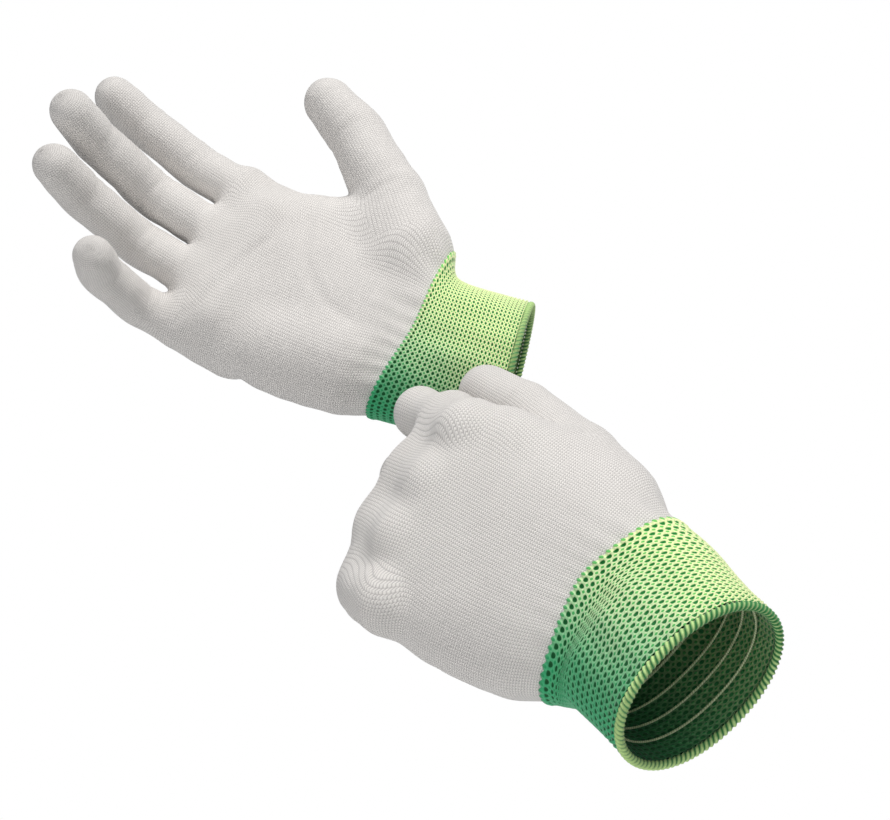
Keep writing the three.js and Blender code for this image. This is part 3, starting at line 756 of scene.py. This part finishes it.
# ---------------------------------------------------------------- hands
def build_hand(glove):
    side = glove.name
    cell = 1.45
    verts, faces = surface(glove.field, (6.0, -72.0, -32.0), (203.0, 104.0, 52.0), cell)
    verts = glove.settle(verts, 3)
    cut = BORDER_AT - glove.border(np.arctan2(verts[:, 2] - .5, verts[:, 1]))
    below = verts[:, 0] < cut
    faces = faces[~below[faces].all(1)]
    snap = below & np.isin(np.arange(len(verts)), faces)
    ring = verts[snap].copy()
    for _ in range(3):
        ring[:, 0] = cut[snap]
        g = glove.gradient(ring)
        g[:, 0] = 0
        ring -= g * (glove.field(ring) / np.maximum((g**2).sum(1), .2))[:, None]
    verts[snap] = ring
    normal = vertex_normals(verts, faces)
    used = np.unique(faces)
    straight = verts.copy()
    moved = verts[used] + normal[used] * wrinkles(glove, verts[used])[:, None]
    posed = verts.copy()
    posed[used] = glove.follow_cuff(glove.bend(moved))
    if glove.spec["side"] < 0:
        faces = faces[:, ::-1]
    out = np.zeros_like(posed)
    out[used] = glove.world(posed[used])
    normal = vertex_normals(out, faces)

    centre = straight[faces].mean(1)
    share = glove.thumb_share(centre)
    thumb_s = (centre - THUMB_BASE) @ glove.tx
    label = np.zeros(len(faces), int)
    chart = np.zeros(len(faces), int)
    own = np.stack([g.field(centre) for g in glove.fingers], 1).argmin(1)
    for i, g in enumerate(glove.fingers):
        s = g.local(centre)[0]
        mine = (own == i) & (share < .5)
        for k, start in enumerate((3.0, g.first / 2, (g.first + g.second) / 2)):
            label[mine & (s > start)] = 3 + 3 * i + k
        chart[mine & (s > -1)] = 2 + i
    on_thumb = share >= .5
    label[on_thumb & (thumb_s > 34)] = 1
    label[on_thumb & (thumb_s > 62)] = 2
    chart[on_thumb & (thumb_s > 24)] = 1

    uv = np.zeros((len(faces), 4, 2))
    charts = ["palm", "thumb"] + glove.fingers
    for c, kind in enumerate(charts):
        m = chart == c
        if not m.any():
            continue
        corners, count = knit_lines(glove, straight[faces[m]].reshape(-1, 3), kind)
        middle, _ = knit_lines(glove, centre[m], kind)
        corners = corners.reshape(-1, 4, 2)
        corners[..., 0] += count * np.round((middle[:, None, 0] - corners[..., 0]) / count)
        uv[m] = corners

    names = ["hand", "thumb_base", "thumb_tip"]
    names += [f"{g.name}_{part}" for g in glove.fingers for part in ("base", "mid", "tip")]
    made = {}
    for number, name in enumerate(names):
        m = label == number
        f = faces[m]
        index, flat = np.unique(f, return_inverse=True)
        f = flat.reshape(-1, 4)
        v = out[index]
        n = normal[index]
        count = len(index)
        # outer and inner face of the fabric
        both = np.concatenate([v, v - n * FABRIC * MM])
        faces2 = np.concatenate([f, f[:, ::-1] + count])
        uv2 = np.concatenate([uv[m], uv[m][:, ::-1]])
        normals = np.concatenate([n, -n])
        made[name] = make_object(f"{side}_{name}_knit", both, faces2, uv2, normals, (HAND_KNIT,))
    join_hand(glove, made)


def join_hand(glove, made):
    side = glove.name
    hand, knuckles = f"{side}_hand", f"{side}_knuckles"
    hinge = glove.spec["hinge"]
    near = glove.world((FOLD_AT - 13, 0, 0))
    far = spin(np.array([[FOLD_AT + 13.0, 0, 0]]), np.array([FOLD_AT, 0, FOLD_OFFSET * hinge]), (0, -1, 0),
               np.array([math.radians(glove.spec["fold"])]))[0]
    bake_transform(made["hand"], hand, knuckles, start=tuple(near), end=tuple(glove.world(far)))
    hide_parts(f"{side}_palm", f"{side}_upper_palm")
    base, tip = f"{side}_thumb_base_stall", f"{side}_thumb_tip_stall"
    a, b = glove.world(glove.thumb_point(35)), glove.world(glove.thumb_point(57))
    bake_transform(made["thumb_base"], hand, base, start=tuple(a), end=tuple(b))
    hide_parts(f"{side}_thumb_base")
    a, b = glove.world(glove.thumb_point(68)), glove.world(glove.thumb_point(89))
    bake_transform(made["thumb_tip"], base, tip, start=tuple(a), end=tuple(b))
    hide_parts(f"{side}_thumb_tip")
    for g in glove.fingers:
        half = min(10.5, g.first / 2 - .3)
        spans = ((3.2, g.first / 2), (g.first - half, g.first + 10.5), (g.second - 9, g.second + 9))
        for k, part in enumerate(("base", "mid", "tip")):
            piece = made[f"{g.name}_{part}"]
            a, b = (glove.world(glove.finger_point(g, s)) for s in spans[k])
            tuple(a)
            tuple(b)
            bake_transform(piece)
            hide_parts(f"{side}_{g.name}_{part}")


# ---------------------------------------------------------------- cuffs
def cuff_half(s):
    t = np.clip(s / CUFF_LENGTH, 0, 1)
    ease = 1 - (1 - t) ** 2
    a = .41 * PALM_WIDTH + (CUFF_HALF[0] - .41 * PALM_WIDTH) * ease
    b = .6 * PALM_DEPTH + (CUFF_HALF[1] - .6 * PALM_DEPTH) * ease
    return a, b, 2.35 - .25 * t


def hand_radius(glove, s, angles):
    """Distance from the cuff's centre line to the hand's surface, s behind the wrist end."""
    far = np.full(s.shape, 60.0)
    near = np.zeros(s.shape)
    c, d = np.cos(angles), np.sin(angles)
    for _ in range(14):
        mid = (far + near) / 2
        p = np.stack([BORDER_AT - s, mid * c, .5 + mid * d], -1)
        inside = glove.field(p.reshape(-1, 3)).reshape(s.shape) < 0
        near = np.where(inside, mid, near)
        far = np.where(inside, far, mid)
    return near


def cuff_surface(glove, s, angles, lift):
    """Points of the cuff for grids of s and angle, lift mm off its smooth outer face, and outward ways."""
    steps = np.linspace(0, CUFF_LENGTH, 95)
    frames = [glove.cuff_frame(v) for v in steps]
    placed = np.maximum(s, 0)
    at, y, z = (np.stack([np.interp(placed, steps, [f[k][i] for f in frames]) for i in range(3)], -1)
                for k in (0, 2, 3))
    at[..., 0] -= np.minimum(s, 0)
    a, b, n = cuff_half(s)
    c, d = np.cos(angles), np.sin(angles)
    r = (np.abs(c / a) ** n + np.abs(d / b) ** n) ** (-1 / n)
    coarse = np.linspace(-5, 15, 21)
    turn = np.linspace(0, 2 * math.pi, 241)
    g1, g2 = np.meshgrid(coarse, turn, indexing="ij")
    table = hand_radius(glove, g1, g2)
    hand = map_coordinates_linear(table, s + 5, np.mod(angles, 2 * math.pi) / (2 * math.pi) * 240)
    w = smooth(s / 15)
    r = r * w + hand * (1 - w) + .25
    local = np.stack([r * c, r * d], -1)
    tangent = np.roll(local, -1, 1) - np.roll(local, 1, 1)
    normal = np.stack([tangent[..., 1], -tangent[..., 0]], -1)
    normal /= np.linalg.norm(normal, axis=-1, keepdims=True)
    points = at + local[..., :1] * y + local[..., 1:] * z
    outward = normal[..., :1] * y + normal[..., 1:] * z
    return points + outward * lift[..., None], outward


def map_coordinates_linear(table, i, j):
    i = np.clip(i, 0, table.shape[0] - 1.001)
    j = np.clip(j, 0, table.shape[1] - 1.001)
    a, b = i.astype(int), j.astype(int)
    u, v = i - a, j - b
    return (table[a, b] * (1 - u) * (1 - v) + table[a + 1, b] * u * (1 - v)
            + table[a, b + 1] * (1 - u) * v + table[a + 1, b + 1] * u * v)


def even_angles(count):
    """Angles that step evenly round the cuff's oval."""
    a, b, n = cuff_half(CUFF_LENGTH * .45)
    t = np.linspace(0, 2 * math.pi, 4001)
    r = (np.abs(np.cos(t) / a) ** n + np.abs(np.sin(t) / b) ** n) ** (-1 / n)
    y, z = r * np.cos(t), r * np.sin(t)
    run = np.concatenate([[0], np.cumsum(np.hypot(np.diff(y), np.diff(z)))])
    return np.interp(np.arange(count) / count, run / run[-1], t)


def tube_faces(rows, cols, close_rows=False):
    i, j = np.meshgrid(np.arange(rows if close_rows else rows - 1), np.arange(cols), indexing="ij")
    i2, j2 = (i + 1) % rows, (j + 1) % cols
    quads = np.stack([i * cols + j, i2 * cols + j, i2 * cols + j2, i * cols + j2], -1).reshape(-1, 4)
    return quads, i.ravel(), j.ravel()


def build_cuff(glove, skew):
    side = glove.name
    wales, courses = glove.spec["wales"], glove.spec["courses"]
    per = 7
    cols = wales * per
    angles = even_angles(cols)
    length = CUFF_LENGTH - HEM_LENGTH
    # courses crowd together towards the opening
    k = np.linspace(0, 1, courses * per + 1)
    eased = 1.12 * k - .12 * k**2.2
    start = glove.border(angles)[None, :]
    rows = start + (length - start) * eased[:, None]
    rows[0] = start - .7
    v = k * courses
    u = np.arange(cols) / per
    uu, vv = np.meshgrid(u, v)
    us = uu + skew * vv
    hx, hy = np.mod(us, 1) - .5, np.mod(vv, 1) - .5
    hole = np.sqrt(hx * hx * 7.6 + hy * hy * 9.6)
    dx, dy = np.mod(us + .5, 1) - .5, np.mod(vv + .5, 1) - .5
    dot = np.sqrt(dx * dx * 21 + dy * dy * 30)
    lift = .62 * smooth((hole - .45) / .85) + .22 * smooth((dot - .5) / .8) - .35
    ribs = smooth((k[:, None] - .72) / .25)
    lift = lift + ribs * .30 * np.cos(2 * math.pi * (vv + .5))
    # slack between the elastic turns, and folds running down to the wrist
    theta = angles[None, :]
    seed = glove.spec["seed"]
    s = rows
    lift = lift + .45 * np.sin(5 * theta + seed + .05 * s) * np.sin(s / length * math.pi) ** 2
    lift = lift + .22 * np.sin(11 * theta + 2 * seed - .03 * s) * smooth(s / 20)
    # the first course bulges over the hand's edge in small scallops
    edge = np.exp(-((s - start) / 1.3) ** 2)
    lift = lift + edge * (.30 + .22 * np.cos(2 * math.pi * us))
    grid_angles = np.broadcast_to(angles, rows.shape)
    base, out = cuff_surface(glove, rows, grid_angles, lift)
    base[0, :, 0] += .45 * np.cos(2 * math.pi * us[0])
    wall = cuff_surface(glove, rows, grid_angles, np.full(lift.shape, -CUFF_WALL + .2))[0]
    wall -= out * (.25 * np.cos(2 * math.pi * vv) * np.cos(math.pi * us) ** 2)[..., None]
    rows_n = len(rows)
    verts = np.concatenate([base.reshape(-1, 3), wall.reshape(-1, 3)])
    quads, i, j = tube_faces(rows_n, cols)
    lim = np.array([[0, 0], [1, 0], [1, 1], [0, 1]])
    uv = np.stack([(j[:, None] + lim[:, 1]) / per, v[i[:, None] + lim[:, 0]]], -1)
    inner = quads[:, ::-1] + rows_n * cols
    uv_in = uv[:, ::-1]
    rim = np.arange(cols)
    nxt = (rim + 1) % cols
    top = np.stack([rim + rows_n * cols, rim, nxt, nxt + rows_n * cols], 1)
    uv_top = np.stack([np.stack([(rim + o) / per, np.full(cols, 0.0)], 1) for o in (0, 0, 1, 1)], 1)
    faces = np.concatenate([quads, inner, top])
    uvs = np.concatenate([uv, uv_in, uv_top])
    index = np.concatenate([np.zeros(len(quads)), np.ones(len(inner)), np.zeros(len(top))])
    if side == "left":
        faces = faces[:, ::-1]
        uvs = uvs[:, ::-1]
    # the line along which the cuff's painted light and shade run
    gradient = glove.gradient_line
    outer_m = cuff_material(f"{side}_cuff_knit_face", gradient, skew)
    inner_m = cuff_material(f"{side}_cuff_knit_inside", gradient, skew, True)
    cuff = make_object(f"{side}_cuff_knit", glove.world(verts), faces, uvs, None, (outer_m, inner_m), index)
    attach(cuff, f"{side}_hand")
    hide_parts(f"{side}_cuff")
    build_hem(glove)
    build_elastic(glove)


def build_hem(glove):
    """The overlocked edge: a rolled lip wrapped in slanting stitches."""
    side = glove.name
    stitches = 96
    cols = stitches * 8
    angles = even_angles(cols)
    rows = 14
    phi = np.arange(rows) / rows * 2 * math.pi
    mid = CUFF_LENGTH - HEM_LENGTH / 2
    u = np.arange(cols) / 8
    points = np.empty((rows, cols, 3))
    for k, f in enumerate(phi):
        twist = np.cos(2 * math.pi * u + 2 * f)
        loop = .5 + .5 * np.cos(2 * math.pi * u + f)
        bump = .20 * twist + .14 * loop
        s = mid + (HEM_LENGTH / 2 - .1) * math.sin(f)
        r = -CUFF_WALL / 2 + .1 + (CUFF_WALL / 2 + .45) * math.cos(f)
        lift = np.full(cols, r) + bump * math.cos(f)
        p, _ = cuff_rows_one(glove, s, angles, lift)
        points[k] = p + glove.cuff_frame(mid)[1] * (-bump * math.sin(f))[:, None]
    faces, i, j = tube_faces(rows, cols, True)
    lim = np.array([[0, 0], [1, 0], [1, 1], [0, 1]])
    uv = np.stack([(j[:, None] + lim[:, 1]) / 8, (i[:, None] + lim[:, 0]) / rows * 2], -1)
    if side == "left":
        faces, uv = faces[:, ::-1], uv[:, ::-1]
    hem_m = yarn_material(f"{side}_hem_yarn", srgb(30, 120, 62), srgb(196, 228, 150), 1.0)
    hem = make_object(f"{side}_hem_overlock", glove.world(points.reshape(-1, 3)), faces, uv, None, (hem_m,))
    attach(hem, f"{side}_hand")
    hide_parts(f"{side}_cuff_hem")


def cuff_rows_one(glove, s, angles, lift):
    """One ring round the cuff at s, lift mm off its smooth outer face, and outward directions."""
    a, b, n = cuff_half(s)
    at, _, y, z = glove.cuff_frame(s)
    c, d = np.cos(angles), np.sin(angles)
    r = (np.abs(c / a) ** n + np.abs(d / b) ** n) ** (-1 / n) + .25
    local = np.stack([r * c, r * d], 1)
    tangent = np.roll(local, -1, 0) - np.roll(local, 1, 0)
    normal = np.stack([tangent[:, 1], -tangent[:, 0]], 1)
    normal /= np.linalg.norm(normal, axis=1, keepdims=True)
    out = normal[:, :1] * y + normal[:, 1:] * z
    return at + local[:, :1] * y + local[:, 1:] * z + out * lift[:, None], out


def build_elastic(glove):
    """Covered elastic laid inside the cuff, one closed turn after another."""
    side = glove.name
    cols, ring, turns = 360, 6, 5
    first, pitch, radius = 9.0, 7.0, .36
    angles = even_angles(cols)
    verts, faces, uvs = [], [], []
    for t in range(turns):
        s0 = first + t * pitch
        rows = []
        for k in range(ring):
            f = 2 * math.pi * k / ring
            rough = .05 * np.cos(angles * 90 + f)
            lift = np.full(cols, -CUFF_WALL - 1.0) + (radius + rough) * math.cos(f)
            p, _ = cuff_rows_one(glove, s0 + radius * math.sin(f), angles, lift)
            rows.append(p)
        q, i, j = tube_faces(ring, cols, True)
        lim = np.array([[0, 0], [1, 0], [1, 1], [0, 1]])
        faces.append(q + len(verts) * ring * cols)
        uvs.append(np.stack([(j[:, None] + lim[:, 1]) / 4, (i[:, None] + lim[:, 0]) / ring], -1))
        verts.append(np.concatenate(rows))
    faces, uvs = np.concatenate(faces), np.concatenate(uvs)
    if side == "left":
        faces, uvs = faces[:, ::-1], uvs[:, ::-1]
    m = yarn_material(f"{side}_elastic_yarn", srgb(226, 232, 196), srgb(178, 196, 140))
    elastic = make_object(f"{side}_elastic_turns", glove.world(np.concatenate(verts)), faces, uvs, None, (m,))
    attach(elastic, f"{side}_hand")
    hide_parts(f"{side}_cuff_elastic")


# ---------------------------------------------------------------- camera, light, stage
def look(obj, location, forward, up):
    f = unit(forward)
    r = unit(np.cross(f, unit(up)))
    u = np.cross(r, f)
    m = Matrix.Identity(4)
    for i in range(3):
        m[i][0], m[i][1], m[i][2], m[i][3] = r[i], u[i], -f[i], location[i]
    obj.matrix_world = m


def build_studio(middle, low):
    scene = bpy.context.scene
    data = bpy.data.cameras.new("camera")
    data.sensor_fit = "HORIZONTAL"
    data.sensor_width = 36
    data.lens = 51.9
    data.clip_start = .01
    camera = bpy.data.objects.new("camera", data)
    scene.collection.objects.link(camera)
    look(camera, (.0385, -.4724, -.1900), (-.124, .935, .332), (-.2305, -.3527, .9069))
    scene.camera = camera

    def area(name, place, size, power, colour=(1, 1, 1)):
        light = bpy.data.lights.new(name, "AREA")
        light.size = size
        light.energy = power
        light.color = colour
        lamp = bpy.data.objects.new(name, light)
        scene.collection.objects.link(lamp)
        spot = middle + np.array(place)
        look(lamp, spot, middle - spot, (0, 1, .01) if abs(place[2]) > 1 else (0, 0, 1))
    area("key_light", (.12, -.72, 1.05), .5, 15.4, (1, .985, .965))
    area("front_light", (-.8, -1.1, .3), 1.2, 4.4, (1, .99, .98))
    area("rim_light", (.6, 1.0, .55), .8, 5.0, (.97, .985, 1))

    world = bpy.data.worlds.new("studio")
    scene.world = world
    world.use_nodes = True
    tree = world.node_tree
    tree.nodes.clear()
    out = tree.nodes.new("ShaderNodeOutputWorld")
    paper = tree.nodes.new("ShaderNodeBackground")
    paper.inputs[0].default_value = (1, 1, 1, 1)
    paper.inputs[1].default_value = 1.0
    soft = tree.nodes.new("ShaderNodeBackground")
    soft.inputs[0].default_value = (.90, .94, 1, 1)
    soft.inputs[1].default_value = .22
    pick = tree.nodes.new("ShaderNodeMixShader")
    path = tree.nodes.new("ShaderNodeLightPath")
    tree.links.new(path.outputs["Is Camera Ray"], pick.inputs[0])
    tree.links.new(soft.outputs[0], pick.inputs[1])
    tree.links.new(paper.outputs[0], pick.inputs[2])
    tree.links.new(pick.outputs[0], out.inputs[0])

    bpy.ops.mesh.primitive_circle_add(vertices=96, radius=1.0, fill_type="NGON", location=(0, 0, low))
    floor = bpy.context.object
    floor.name = "studio_floor"
    m = bpy.data.materials.new("pale_floor")
    m.use_nodes = True
    m.node_tree.nodes["Principled BSDF"].inputs["Base Color"].default_value = (.86, .86, .86, 1)
    m.node_tree.nodes["Principled BSDF"].inputs["Roughness"].default_value = .9
    floor.data.materials.append(m)
    floor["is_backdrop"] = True
    scene.view_settings.view_transform = "Standard"


# ---------------------------------------------------------------- the pair
right = Glove("right", RIGHT)
left = Glove("left", LEFT)
centre_r = right.world(right.cuff_frame(24)[0])
centre_l = left.world(left.cuff_frame(24)[0])
# painted light and shade on the cuffs: direction towards the lit upper side, centre point and span, in metres
right.gradient_line = ((.5, 0, .86), centre_r - np.array([.006, 0, .016]), .060)
left.gradient_line = ((.45, 0, .9), centre_l - np.array([.002, 0, .005]), .070)

for hand in (right, left):
    build_hand(hand)
    build_cuff(hand, .10 if hand is left else -.08)

low, high = (np.array(v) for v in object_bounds())
build_studio((low + high) / 2, float(low[2]) - .20)
